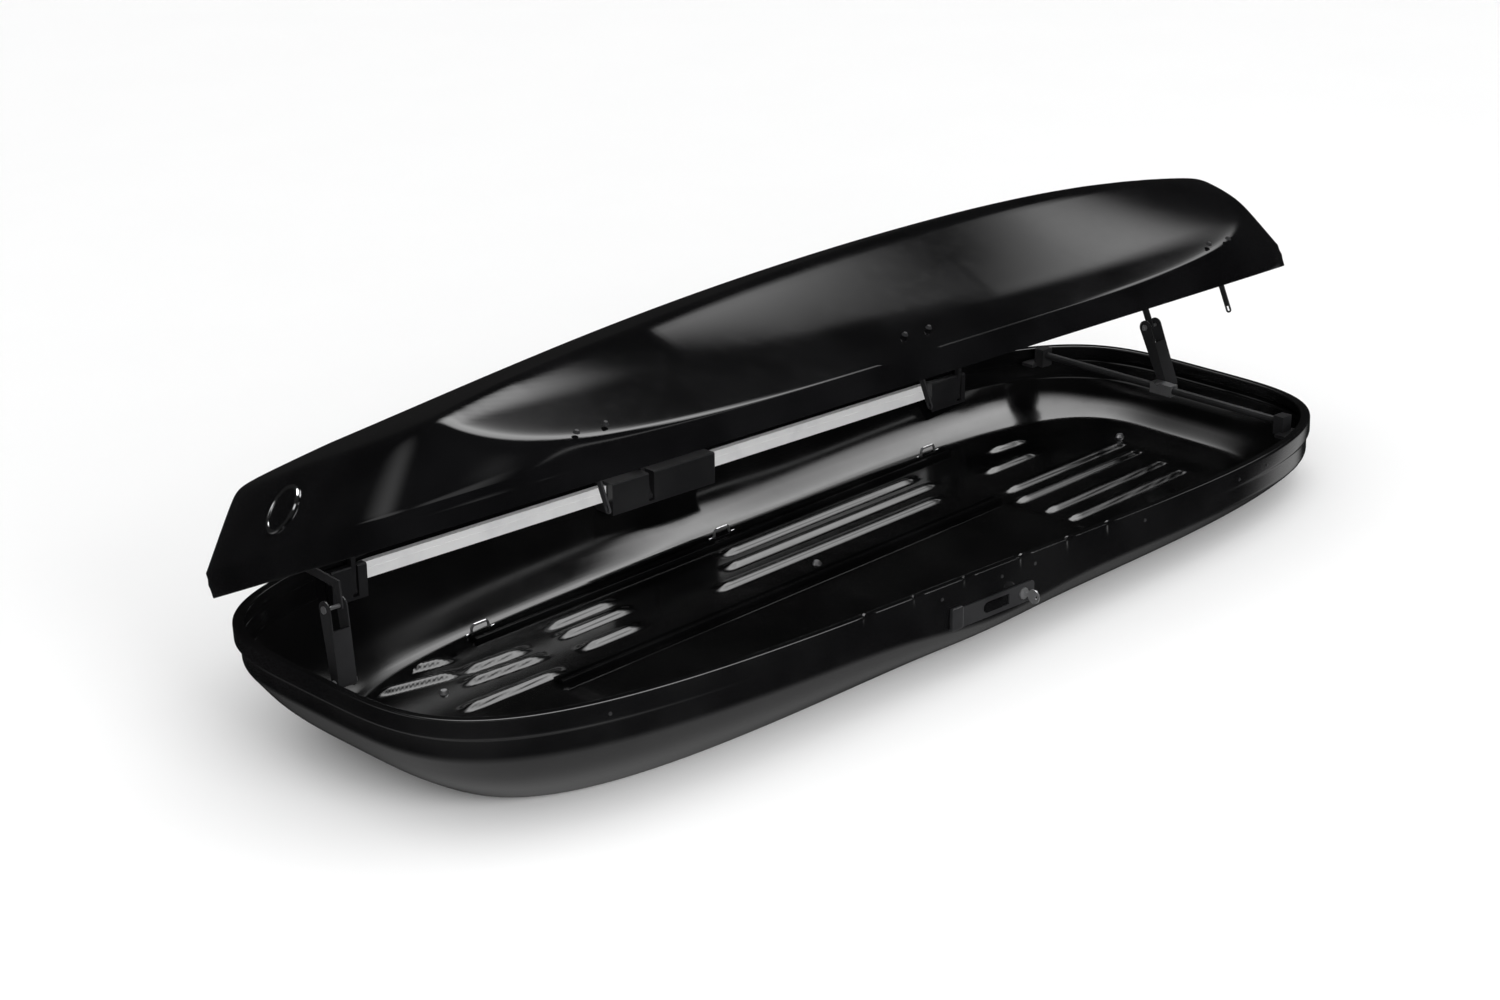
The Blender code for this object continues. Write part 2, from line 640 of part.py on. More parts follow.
# Near units hold the latch bar in a channel that is open at the back, and a slot for each striker.
BAR_LOW = LATCH_BAR_TOP + LATCH_BAR_TALL
BAR_FACE = LATCH_BAR_BACK - LATCH_BAR_THICK
FINGER_DEPTHS = (LATCH_BAR_TOP - 0.011, LATCH_BAR_TOP - 0.006)
for unit_name, span, striker_x in zip(UNIT_NAMES, UNIT_SPANS, STRIKER_XS):
    near = unit(f"latch_unit_{unit_name}", span, -1)
    channel = span_box(
        f"bar_channel_{unit_name}", (span[0] - 0.01, span[1] + 0.01), (BAR_FACE - LATCH_CHANNEL, WIDTH / 2),
        (-FINGER_DEPTHS[0] + LATCH_CHANNEL, -BAR_LOW - LATCH_CHANNEL), -1,
    )
    cut(near, channel.name, channel, "MANIFOLD")
    slot_half = STRIKER_THICK / 2 + 0.002
    slot = span_box(
        f"striker_slot_{unit_name}", (striker_x - slot_half, striker_x + slot_half),
        (UNIT_FACE - 0.01, WIDTH / 2), (0, -STRIKER_DEPTH - 0.002), -1,
    )
    cut(near, slot.name, slot, "MANIFOLD")
    # Striker: a thin plate in YZ with an eye for the finger, carried over the rim on a strap from the lid's wall.
    wall_y = lid_inside(abs(striker_x) + FLANGE_HALF) - 3 * GAP
    line = [
        (-STRIKER_Y, -STRIKER_DEPTH + STRIKER_HALF),
        (-STRIKER_Y, STRAP_HEIGHT - 0.0005),
        (-(wall_y - KNUCKLE_HALF - 0.003), STRAP_HEIGHT - 0.0005),
    ]
    name = f"striker_{unit_name}"
    low, high = striker_x - STRIKER_THICK / 2, striker_x + STRIKER_THICK / 2
    made = add(name, prism_mesh(name, strap(line[:2], STRIKER_HALF), low, high), "black_steel", LID)
    join(made, f"striker_strap_{unit_name}", box_mesh(
        "strap", (low, -wall_y + 0.001, FLANGE_HEIGHTS[0] + 0.003), (high, -STRIKER_Y + STRIKER_HALF * 0.5, FLANGE_HEIGHTS[1] - 0.001)))
    flange = box_mesh(
        "flange", (striker_x - FLANGE_HALF, -wall_y, FLANGE_HEIGHTS[0]),
        (striker_x + FLANGE_HALF, -wall_y + 0.0045, FLANGE_HEIGHTS[1]))
    join(made, f"striker_flange_{unit_name}", flange)
    eye = span_box(
        f"striker_eye_{unit_name}", (low - 0.01, high + 0.01), (STRIKER_Y - STRIKER_EYE, STRIKER_Y + STRIKER_EYE),
        (-FINGER_DEPTHS[0] + 0.0015, -FINGER_DEPTHS[1] - 0.0015), -1,
    )
    cut(made, eye.name, eye)

# Latch bar: one strip with three upright hooks whose fingers reach along +X.
bar = add("latch_bar", span_box(
    "latch_bar", LATCH_BAR_SPAN, (BAR_FACE, LATCH_BAR_BACK), (-LATCH_BAR_TOP, -BAR_LOW), -1), "steel", RIM)
for unit_name, striker_x in zip(UNIT_NAMES, STRIKER_XS):
    tip = striker_x - STRIKER_THICK / 2 - 0.0015
    arm = span_box(
        f"catch_arm_{unit_name}", (tip - CATCH_FINGER - CATCH_THICK, tip - CATCH_FINGER),
        (BAR_FACE, LATCH_BAR_BACK), (-FINGER_DEPTHS[0], -LATCH_BAR_TOP - 0.002), -1,
    )
    join(bar, arm.name, arm)
    finger = span_box(
        f"catch_finger_{unit_name}", (tip - CATCH_FINGER - 0.001, tip), (BAR_FACE, LATCH_BAR_BACK),
        (-FINGER_DEPTHS[0], -FINGER_DEPTHS[1]), -1,
    )
    join(bar, finger.name, finger)

# ---- Lock, outside the near wall

PLATE_BACK = WIDTH / 2 + GAP
PLATE_FACE = PLATE_BACK + LOCK_THICK
LOCK_MIDDLE = -LOCK_TOP - LOCK_TALL / 2
round_end = arc((LOCK_SPAN[1] - 0.006, -LOCK_TOP - LOCK_TALL + 0.006), 0.006, -90, 0, 4)
round_top = arc((LOCK_SPAN[1] - 0.006, -LOCK_TOP - 0.006), 0.006, 0, 90, 4)
plate_outline = [(LOCK_SPAN[0], -LOCK_TOP - LOCK_TALL), *round_end, *round_top, (LOCK_SPAN[0], -LOCK_TOP)]
plate = add("lock_plate", prism_mesh("lock_plate", plate_outline, -PLATE_FACE, -PLATE_BACK, "Y"), "plastic_black", RIM)
radius = WINDOW_TALL / 2
window = arc((WINDOW_SPAN[0] + radius, LOCK_MIDDLE), radius, 90, 270, 8) + [
    (WINDOW_SPAN[1], LOCK_MIDDLE - radius), (WINDOW_SPAN[1], LOCK_MIDDLE + radius)]
cut(plate, "window", prism_mesh("window", window, -PLATE_FACE - 0.01, -PLATE_BACK + 0.01, "Y"))
key_place = (KEY_X, 0, -KEY_DEPTH)
cut(plate, "plate_bore", rod_mesh(
    "plate_bore", CYLINDER_RADIUS + GAP, -PLATE_FACE - 0.01, -PLATE_BACK + 0.01, "Y", key_place, 28))
cut(TUB, "wall_bore", rod_mesh(
    "wall_bore", CYLINDER_RADIUS + 0.001, -PLATE_BACK - 0.01, -PLATE_BACK + 0.02, "Y", key_place, 20))
CUTTERS.objects["wall_bore"].parent = RIM
cap = box_mesh(
    "lock_cap", (LOCK_CAP_SPAN[0], -PLATE_BACK - LOCK_CAP_THICK, -LOCK_TOP - LOCK_TALL + 0.001),
    (LOCK_CAP_SPAN[1], -PLATE_BACK, -LOCK_TOP + 0.005))
cap_made = add("lock_cap", cap, "plastic_black", RIM)
edge = cap_made.modifiers.new("edges", "BEVEL")
edge.width = 0.002
edge.segments = 2

slider_start = WINDOW_SPAN[0] + 0.001
slider_low, slider_high = LOCK_MIDDLE - radius + 0.0012, LOCK_MIDDLE + radius - 0.0012
slider_radius = (slider_high - slider_low) / 2
slider_outline = arc((slider_start + slider_radius, LOCK_MIDDLE), slider_radius, 90, 270, 8) + [
    (slider_start + SLIDER_LENGTH, slider_low), (slider_start + SLIDER_LENGTH, slider_high)]
slider = add("release_slider", prism_mesh(
    "release_slider", slider_outline, -PLATE_FACE - 0.0012, -PLATE_BACK, "Y"), "gloss_black", RIM)
stem_x = slider_start + 0.016
stem_zs = (-LATCH_BAR_TOP - 0.001, slider_low + 0.0008)
stem_mesh = span_box("stem", (stem_x, stem_x + 0.008), (LATCH_BAR_BACK + GAP, PLATE_BACK + 0.001), stem_zs, -1)
join(slider, "stem", stem_mesh)
wall_slot = span_box(
    "wall_slot", (stem_x - 0.002, stem_x + 0.008 + LATCH_TRAVEL + 0.002), (PLATE_BACK - 0.02, PLATE_BACK + 0.01),
    (stem_zs[0] + 0.002, stem_zs[1] - 0.002), -1)
cut(TUB, "wall_slot", wall_slot)
CUTTERS.objects["wall_slot"].parent = RIM

cylinder = add("lock_cylinder", rod_mesh(
    "lock_cylinder", CYLINDER_RADIUS, -PLATE_FACE - 0.002, -PLATE_BACK + 0.0125, "Y", (0, 0, 0), 28), "steel", RIM, key_place)
near_centre = PARTS.objects["latch_unit_centre"]
cut(near_centre, "cylinder_room", rod_mesh(
    "cylinder_room", CYLINDER_RADIUS + 0.001, -PLATE_BACK - 0.01, -PLATE_BACK + 0.0145, "Y", key_place, 20))
cut(cylinder, "key_way", box_mesh(
    "key_way", (-KEY_BLADE[0] / 2 - GAP, -PLATE_FACE - 0.01, -KEY_BLADE[1] / 2 - GAP),
    (KEY_BLADE[0] / 2 + GAP, -PLATE_FACE + KEY_INSERT, KEY_BLADE[1] / 2 + GAP)))
key = add("key", box_mesh(
    "key", (-KEY_BLADE[0] / 2, -PLATE_FACE - 0.012, -KEY_BLADE[1] / 2),
    (KEY_BLADE[0] / 2, -PLATE_FACE + KEY_INSERT - GAP, KEY_BLADE[1] / 2)), "steel", RIM, key_place)
join(key, "bow", rod_mesh(
    "bow", KEY_BOW_RADIUS, -KEY_BLADE[0] / 2 - 0.0004, KEY_BLADE[0] / 2 + 0.0004, "X", (0, -PLATE_FACE - 0.020, 0), 20))
cut(key, "bow_hole", rod_mesh("bow_hole", 0.003, -0.01, 0.01, "X", (0, -PLATE_FACE - 0.0255, 0), 12))

# ---- Lid screws and badge

for unit_name, striker_x in zip(UNIT_NAMES, STRIKER_XS):
    for number, shift in ((1, -SCREW_SPREAD / 2), (2, SCREW_SPREAD / 2)):
        x = striker_x + shift
        skirt_y = WIDTH / 2 + LID_OUT
        along = (x - CREASE_X) / (CREASE_END_X - CREASE_X)
        crease_y = float(mix(CREASE_Y, CREASE_Y_TAIL, along))
        crease_h = float(mix(CREASE_HEIGHT, CREASE_HEIGHT_TAIL, along))
        slope = (crease_h - SHOULDER) / (skirt_y - crease_y)
        y = -(skirt_y - (SCREW_HEIGHT - SHOULDER) / slope)
        lean = math.atan2(1, slope)
        head_mesh = rod_mesh("screw", SCREW_RADIUS, 0, SCREW_PROUD, "Z", (0, 0, 0), 16, SCREW_RADIUS * 0.55)
        out = 0.0035
        place = (x, y - out * math.sin(math.pi / 2 - lean), SCREW_HEIGHT + out * math.cos(math.pi / 2 - lean))
        add(f"lid_screw_{unit_name}_{number}", head_mesh, "steel", LID, place, (math.pi / 2 - lean, 0, 0))

badge_h = SHOULDER + NOSE_RAKE * (BADGE_X + LENGTH / 2 + LID_OUT)
rake = math.atan(NOSE_RAKE)
badge = rod_mesh("badge", BADGE_RADIUS, 0, BADGE_THICK, "Z", (0, 0, 0), 32, BADGE_RADIUS * 0.94)
lift = 0.0012
add("badge", badge, "chrome", LID, (BADGE_X - lift * math.sin(rake), 0, badge_h + lift * math.cos(rake)), (0, -rake, 0))

# ---- Lid lifters


def reach(foot, top, arm_length, link_length):
    """Angles of the arm and the link, from +Y towards +Z, with the knee on the upper side of the line to the top."""
    run = math.hypot(top[0] - foot[0], top[1] - foot[1])
    bend = math.acos((arm_length**2 + run**2 - link_length**2) / (2 * arm_length * run))
    arm = math.atan2(top[1] - foot[1], top[0] - foot[0]) + bend
    knee = (foot[0] + arm_length * math.cos(arm), foot[1] + arm_length * math.sin(arm))
    return arm, math.atan2(top[1] - knee[1], top[0] - knee[0])


def lifter(which, x, foot_depth, arm_length, link_length, top_y, top_h, start, shift):
    foot = (0.0, -foot_depth)
    arm_angle, link_angle = reach(foot, opened(top_y, top_h), arm_length, link_length)
    arm_shut, link_shut = reach(foot, (top_y, top_h), arm_length, link_length)
    half = LIFTER_WIDTH / 2
    # Arm: a channel with its web towards the lock side, tapering from the knee down to the foot.
    arm_frame = empty(f"lifter_foot_axis_{which}", RIM, (x, foot[0], foot[1]), (arm_angle, 0, 0))
    side = arc((0, 0), LIFTER_FOOT_RADIUS, 94, 266, 8) + arc((arm_length, 0), LIFTER_KNEE_RADIUS, -86, 86, 10)
    made = add(f"lifter_arm_{which}", prism_mesh("arm", side, -half, half), "black_steel", arm_frame)
    web = LIFTER_FOOT_RADIUS - LIFTER_SHEET
    room = [(-0.03, -0.03), (arm_length + 0.03, -0.03), (arm_length + 0.03, web), (-0.03, web)]
    cut(made, f"arm_room_{which}", prism_mesh("room", room, -half + LIFTER_SHEET, half - LIFTER_SHEET))
    knee_room = [(arm_length - 0.030, 0), (arm_length + 0.03, 0), (arm_length + 0.03, 0.03), (arm_length - 0.030, 0.03)]
    cut(made, f"knee_room_{which}", prism_mesh("knee", knee_room, -half + LIFTER_SHEET, half - LIFTER_SHEET))
    for end, place in (("foot", 0), ("knee", arm_length)):
        bore = rod_mesh("bore", LIFTER_PIN + PIVOT_PLAY, -half - 0.01, half + 0.01, "X", (0, place, 0), 16)
        cut(made, f"arm_{end}_bore_{which}", bore)
    pin = rod_mesh("pin", LIFTER_PIN, -half - 0.001, half + 0.001, "X", (0, arm_length, 0), 16)
    made = add(f"lifter_knee_pin_{which}", pin, "steel", arm_frame)
    for end in (-1, 1):
        inner, outer = sorted((end * (half + GAP), end * (half + 0.0025)))
        join(made, f"knee_head_{which}_{'ab'[end > 0]}", rod_mesh(
            "head", LIFTER_PIN * 1.8, inner, outer, "X", (0, arm_length, 0), 16))
    coil = bpy.data.curves.new(f"lifter_spring_{which}", "CURVE")
    coil.dimensions = "3D"
    coil.bevel_depth = SPRING_WIRE
    coil.bevel_resolution = 1
    coil.use_fill_caps = True
    steps = 12 * SPRING_TURNS
    wire = coil.splines.new("POLY")
    wire.points.add(steps)
    for i in range(steps + 1):
        turn = 2 * math.pi * i / 12
        along = (i / steps - 0.5) * (LIFTER_WIDTH - 2 * LIFTER_SHEET - 0.006)
        wire.points[i].co = (along, SPRING_RADIUS * math.cos(turn), SPRING_RADIUS * math.sin(turn), 1)
    made = bpy.data.objects.new(f"lifter_spring_{which}", coil)
    made.parent = arm_frame
    PARTS.objects.link(made)
    coil.materials.append(material("steel"))
    # Link: a strap that leaves the knee in line with the arm, bends, and runs to the pivot on the lid.
    link_frame = empty(f"lifter_knee_axis_{which}", arm_frame, (0, arm_length, 0), (link_angle - arm_angle, 0, 0))
    lead = arm_angle - link_angle
    bend = (start * math.cos(lead), start * math.sin(lead))
    made = add(f"lifter_link_{which}", prism_mesh(
        "link", strap([(0, 0), bend, (link_length, 0)], LINK_HALF), shift - LINK_THICK / 2, shift + LINK_THICK / 2), "black_steel", link_frame)
    cut(made, f"link_knee_bore_{which}", rod_mesh(
        "bore", LIFTER_PIN + PIVOT_PLAY, shift - 0.01, shift + 0.01, "X", (0, 0, 0), 16))
    join(made, f"link_top_pin_{which}", rod_mesh(
        "pin", LIFTER_PIN, shift, shift + LINK_THICK / 2 + 0.008, "X", (0, link_length, 0), 16))
    # Bracket on the lid with the slot that the link's top pin runs in. The slot is sized for the path of the pin.
    mid_arm = (arm_angle + arm_shut) / 2
    mid_link = (link_angle + link_shut) / 2
    tip = (
        foot[0] + arm_length * math.cos(mid_arm) + link_length * math.cos(mid_link),
        foot[1] + arm_length * math.sin(mid_arm) + link_length * math.sin(mid_link),
    )
    tip = shut(*tip, OPEN / 2)
    far_end = (top_y + SLOT_REACH * (tip[0] - top_y), top_h + SLOT_REACH * (tip[1] - top_h))
    low_x = x + shift + LINK_THICK / 2 + 0.0025
    roof = min(float(lid_height(np.array(low_x + end), np.array(top_y + HANGER_HALF))) for end in (0, HANGER_THICK)) - 3.4 * WALL
    plate_side = arc((top_y, top_h), HANGER_HALF, 180, 360, 10) + [(top_y + HANGER_HALF, roof), (top_y - HANGER_HALF, roof)]
    made = add(f"lid_bracket_{which}", prism_mesh(
        "bracket", plate_side, low_x, low_x + HANGER_THICK), "black_steel", LID)
    cut(made, f"bracket_slot_{which}", prism_mesh(
        "slot", strap([(top_y, top_h), far_end], LIFTER_PIN + SLOT_ROOM), low_x - 0.01, low_x + 0.01))
    return foot


for which, row in LIFTERS.items():
    x = row[0]
    foot = lifter(which, *row)
    half = LIFTER_WIDTH / 2
    if which == "front":
        wall_x = -LENGTH / 2 + LIP_STEP + WALL + GAP + 0.001
        made = add("lifter_foot_front", box_mesh(
            "foot", (wall_x, -0.020, foot[1] - 0.026), (wall_x + 0.0035, 0.020, foot[1] + 0.012)), "black_steel", RIM)
        near_face = wall_x + 0.0015
    else:
        near_face = TUBE_X + TUBE_RADIUS + 0.0005
        made = add("lifter_foot_rear", box_mesh(
            "foot", (TUBE_X - TUBE_RADIUS - 0.003, -0.034, -TUBE_DEPTH - TUBE_RADIUS - 0.003),
            (TUBE_X + TUBE_RADIUS + 0.0035, 0.012, -TUBE_DEPTH + TUBE_RADIUS + 0.003)), "steel", RIM)
        cut(made, "foot_tube_bore", rod_mesh(
            "bore", TUBE_RADIUS + GAP, -0.05, 0.05, "Y", (TUBE_X, 0, -TUBE_DEPTH), 20))
    boss_end = x - half - 0.0008
    join(made, f"foot_boss_{which}", rod_mesh(
        "boss", 0.0065, near_face, boss_end, "X", (0, foot[0], foot[1]), 18))
    cut(made, f"foot_bore_{which}", rod_mesh(
        "bore", LIFTER_PIN + GAP, near_face + 0.002, boss_end + 0.01, "X", (0, foot[0], foot[1]), 16))
    pin = rod_mesh("pin", LIFTER_PIN, near_face + 0.002 + GAP, x + half + 0.001, "X", (0, foot[0], foot[1]), 16)
    made = add(f"lifter_foot_pin_{which}", pin, "steel", RIM)
    join(made, f"foot_pin_head_{which}", rod_mesh(
        "head", LIFTER_PIN * 1.8, x + half + 0.0005, x + half + 0.003, "X", (0, foot[0], foot[1]), 16))

# ---- Cross tube

add("cross_tube", rod_mesh(
    "tube", TUBE_RADIUS, -TUBE_HALF, TUBE_HALF, "Y", (TUBE_X, 0, -TUBE_DEPTH), 20), "black_steel", RIM)
for side, side_name in ((1, "far"), (-1, "near")):
    block_ys = (TUBE_HALF - TUBE_SOCKET, TUBE_HALF + 0.006)
    name = f"tube_bracket_{side_name}"
    made = add(name, span_box(
        name, (TUBE_X - TUBE_BLOCK / 2, TUBE_X + TUBE_BLOCK / 2), block_ys,
        (-TUBE_DEPTH - TUBE_BLOCK / 2 - 0.008, -TUBE_DEPTH + TUBE_BLOCK / 2), side), "plastic_black", RIM)
    flange = span_box(
        f"tube_flange_{side_name}", (TUBE_X - 0.026, TUBE_X + 0.022), (TUBE_HALF, TUBE_FOOT),
        (-HEM_DEPTH - 0.003, -HEM_DEPTH - 0.009), side)
    join(made, flange.name, flange)
    bore_low, bore_high = sorted((side * (block_ys[0] - 0.01), side * (TUBE_HALF + GAP)))
    cut(made, f"tube_socket_{side_name}", rod_mesh(
        "socket", TUBE_RADIUS + GAP, bore_low, bore_high, "Y", (TUBE_X, 0, -TUBE_DEPTH), 20))

# ---- Load floor

FLOOR = WALL + GAP
for side_name, y, span in zip(("far", "near"), FLOOR_RAIL_YS, FLOOR_RAIL_SPANS):
    low, high = y - FLOOR_RAIL_WIDTH / 2, y + FLOOR_RAIL_WIDTH / 2
    slot_low, slot_high = y - FLOOR_RAIL_SLOT / 2, y + FLOOR_RAIL_SLOT / 2
    top = FLOOR + FLOOR_RAIL_TALL
    section = [
        (low, FLOOR), (high, FLOOR), (high, top - 0.001), (high - 0.001, top), (slot_high, top),
        (slot_high, FLOOR + 0.002), (slot_low, FLOOR + 0.002), (slot_low, top), (low + 0.001, top), (low, top - 0.001),
    ]
    name = f"floor_rail_{side_name}"
    add(name, prism_mesh(name, section, *span), "plastic_black", None)

for loop_name, x in zip(UNIT_NAMES, LOOP_XS):
    name = f"tie_down_loop_{loop_name}"
    curve = bpy.data.curves.new(name, "CURVE")
    curve.dimensions = "3D"
    curve.bevel_depth = LOOP_WIRE
    curve.bevel_resolution = 2
    curve.use_fill_caps = True
    inner = LOOP_HALF - 0.011
    low = LOOP_WIRE
    path = [(-LOOP_HALF, low), (-inner - 0.004, low)]
    path += [(-inner, low + 0.003)]
    path += [(-0.62 * inner - 0.38 * inner * math.cos(a) * 1.0, LOOP_TALL - 0.009 + 0.007 * math.sin(a)) for a in (0.3, 0.9, 1.4)]
    path += [(-p[0], p[1]) for p in path[::-1]]
    wire = curve.splines.new("POLY")
    wire.points.add(len(path) - 1)
    for point, (along, up) in zip(wire.points, path):
        point.co = (along, 0, up, 1)
    made = bpy.data.objects.new(name, curve)
    made.location = (x, LOOP_Y, FLOOR)
    PARTS.objects.link(made)
    curve.materials.append(material("steel"))

for bolt_name, (x, y) in zip(UNIT_NAMES, BOLTS):
    name = f"floor_bolt_{bolt_name}"
    add(name, rod_mesh(name, BOLT_RADIUS, 0, BOLT_TALL, "Z", (0, 0, 0), 16, BOLT_RADIUS * 0.6), "steel", None, (x, y, FLOOR))
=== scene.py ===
import math

import bpy
import numpy as np
from mathutils import Matrix, Vector


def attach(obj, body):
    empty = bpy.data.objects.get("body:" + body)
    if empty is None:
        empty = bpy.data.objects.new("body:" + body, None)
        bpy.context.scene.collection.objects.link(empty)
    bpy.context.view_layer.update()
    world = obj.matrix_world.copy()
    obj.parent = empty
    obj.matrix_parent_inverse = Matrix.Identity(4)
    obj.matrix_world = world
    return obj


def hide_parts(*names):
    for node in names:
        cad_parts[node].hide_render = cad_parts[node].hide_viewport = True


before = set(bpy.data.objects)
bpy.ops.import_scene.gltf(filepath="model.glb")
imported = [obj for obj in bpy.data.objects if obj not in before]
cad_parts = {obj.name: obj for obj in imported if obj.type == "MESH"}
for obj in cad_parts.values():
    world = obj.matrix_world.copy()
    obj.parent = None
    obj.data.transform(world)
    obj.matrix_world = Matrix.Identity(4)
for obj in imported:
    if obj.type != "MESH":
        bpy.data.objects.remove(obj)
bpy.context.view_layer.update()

# The rim plane leans down towards the tail. Rim places are x, y and height above the rim plane.
rim = {"height": 0.150, "slope": 0.041, "length": 1.94, "width": 0.766, "squareness": 4.0}
lean = math.atan(rim["slope"])


def rimToPart(x, y, h):
    # turn about Y by the lean, then lift to the rim height
    x, y, h = np.broadcast_arrays(x, y, h)
    z = rim["height"] - x * math.sin(lean) + h * math.cos(lean)
    return np.stack([x * math.cos(lean) + h * math.sin(lean), y, z], -1)


def smoothStep(low, high, value):
    # 0 below low, 1 above high, and 3t^2 - 2t^3 between
    t = np.clip((value - low) / (high - low), 0, 1)
    return t * t * (3 - 2 * t)


def softMin(a, b, width):
    # the lower of two values, rounded off over a width where they meet
    return (a + b - np.sqrt((a - b) ** 2 + width**2)) / 2


def unitRing(columns, fineReach, fineShare):
    # superellipse with semi-axes 1: |x|^n + |y|^n = 1, anticlockwise from the tail, spaced by arc length,
    # closer in the corners and within fineReach of mid length
    angle = np.linspace(0, math.pi / 2, 6001)
    x = np.cos(angle) ** (2 / rim["squareness"])
    y = np.sin(angle) ** (2 / rim["squareness"])
    runX, runY = np.diff(x) * rim["length"] / 2, np.diff(y) * rim["width"] / 2
    turn = np.abs(np.diff(np.unwrap(np.arctan2(runY, runX)), prepend=math.pi / 2))
    middle = (x[1:] + x[:-1]) / 2 * rim["length"] / 2
    weight = np.hypot(runX, runY) * (1 + fineShare * (middle < fineReach)) + 0.30 * turn
    pace = np.concatenate([[0], np.cumsum(weight)])
    even = np.linspace(0, pace[-1], columns // 4 + 1)
    x, y = np.interp(even, pace, x), np.interp(even, pace, y)
    x, y = np.concatenate([x, -x[-2::-1]]), np.concatenate([y, y[-2::-1]])
    return np.concatenate([x, x[-2:0:-1]]), np.concatenate([y, -y[-2:0:-1]])


def filleted(stations, radii, steps):
    # profile along the first axis with each inner corner replaced by a quadratic curve that starts and ends
    # one radius from the corner
    rows = [stations[0]]
    for i, radius in enumerate(radii, start=1):
        before, after = stations[i - 1] - stations[i], stations[i + 1] - stations[i]
        runIn = np.linalg.norm(before, axis=-1, keepdims=True)
        runOut = np.linalg.norm(after, axis=-1, keepdims=True)
        a = stations[i] + before * np.minimum(radius / runIn, 0.48)
        b = stations[i] + after * np.minimum(radius / runOut, 0.48)
        for t in np.linspace(0, 1, steps[i - 1]):
            rows.append(a * (1 - t) ** 2 + stations[i] * 2 * t * (1 - t) + b * t**2)
    rows.append(stations[-1])
    return np.array(rows)


def outwardNormals(rows):
    # cross product of the differences down the rows and round the columns
    down = np.gradient(rows, axis=0)
    around = np.roll(rows, -1, 1) - np.roll(rows, 1, 1)
    normal = np.cross(down, around)
    return normal / np.maximum(np.linalg.norm(normal, axis=-1, keepdims=True), 1e-12)


def gridPiece(name, rows, sharp, bridged=True):
    # closed surface from rows of points that each run all the way round; with bridged, the first and last row
    # are closed by a strip across from +Y to -Y
    count, around = rows.shape[:2]
    index = np.arange(count * around).reshape(count, around)
    after = np.roll(index, -1, 1)
    quads = np.stack([index[:-1], after[:-1], after[1:], index[1:]], -1).reshape(-1, 4)
    faces = [tuple(q) for q in quads.tolist()]
    if bridged:
        for row, turned in ((index[0], True), (index[-1], False)):
            for i in range(around // 2):
                strip = list(dict.fromkeys(row[j % around] for j in (i, i + 1, around - i - 1, around - i)))
                faces.append(tuple(int(k) for k in (strip[::-1] if turned else strip)))
    mesh = bpy.data.meshes.new(name)
    mesh.from_pydata(rows.reshape(-1, 3).tolist(), [], faces)
    mesh.update()
    mesh.calc_loop_triangles()
    corners = np.empty(len(mesh.loop_triangles) * 3, np.int64)
    mesh.loop_triangles.foreach_get("vertices", corners)
    if np.linalg.det(rows.reshape(-1, 3)[corners.reshape(-1, 3)]).sum() < 0:
        mesh.flip_normals()
    return pieceOf(name, mesh, sharp)


def pieceOf(name, mesh, sharp):
    mesh.shade_smooth()
    mesh.set_sharp_from_angle(angle=math.radians(sharp))
    made = bpy.data.objects.new(name, mesh)
    bpy.context.scene.collection.objects.link(made)
    return made


def joined(parts):
    # several (points, faces) in one
    points, faces, start = [], [], 0
    for somePoints, someFaces in parts:
        points.append(np.asarray(somePoints, float))
        faces += [tuple(k + start for k in face) for face in someFaces]
        start += len(somePoints)
    return np.concatenate(points), faces


def solidPiece(name, parts, sharp, place=lambda p: p):
    points, faces = joined(parts)
    mesh = bpy.data.meshes.new(name)
    mesh.from_pydata(place(points).tolist(), [], faces)
    mesh.update()
    return pieceOf(name, mesh, sharp)


def lathe(profile, around, centre, axis, side):
    # radius and height pairs turned about an axis through centre; side is any direction across the axis
    profile = np.asarray(profile, float)
    axis = np.asarray(axis, float) / np.linalg.norm(axis)
    side = np.asarray(side, float) - axis * (np.asarray(side, float) @ axis)
    side /= np.linalg.norm(side)
    other = np.cross(axis, side)
    turn = np.linspace(0, 2 * math.pi, around, endpoint=False)
    ring = np.cos(turn)[:, None] * side + np.sin(turn)[:, None] * other
    points = np.asarray(centre, float) + profile[:, None, :1] * ring + profile[:, None, 1:] * axis
    points = points.reshape(-1, 3)
    last = len(profile) - 1
    faces = []
    for i in range(last):
        low, high = i * around, (i + 1) * around
        for j in range(around):
            after = (j + 1) % around
            faces.append((low + j, low + after, high + after, high + j))
    faces.append(tuple(range(around))[::-1])
    faces.append(tuple(last * around + j for j in range(around)))
    return points, faces


# Finishes

class Wire:
    # wraps a socket, so that arithmetic on it adds Math nodes
    def __init__(self, tree, socket):
        self.tree = tree
        self.socket = socket

    def maths(self, operation, *values):
        node = self.tree.nodes.new("ShaderNodeMath")
        node.operation = operation
        for slot, value in zip(node.inputs, values):
            if isinstance(value, Wire):
                self.tree.links.new(value.socket, slot)
            else:
                slot.default_value = value
        return Wire(self.tree, node.outputs[0])

    def __add__(self, other):
        return self.maths("ADD", self, other)

    def __sub__(self, other):
        return self.maths("SUBTRACT", self, other)

    def __rsub__(self, other):
        return self.maths("SUBTRACT", other, self)

    def __mul__(self, other):
        return self.maths("MULTIPLY", self, other)

    def __truediv__(self, other):
        return self.maths("DIVIDE", self, other)

    def __abs__(self):
        return self.maths("ABSOLUTE", self)

    __radd__ = __add__
    __rmul__ = __mul__

    def between(self, low, high):
        # 0 at low, 1 at high, smooth between; low may be above high
        t = self.maths("MINIMUM", self.maths("MAXIMUM", (self - low) / (high - low), 0.0), 1.0)
        return t * t * (3.0 - 2.0 * t)


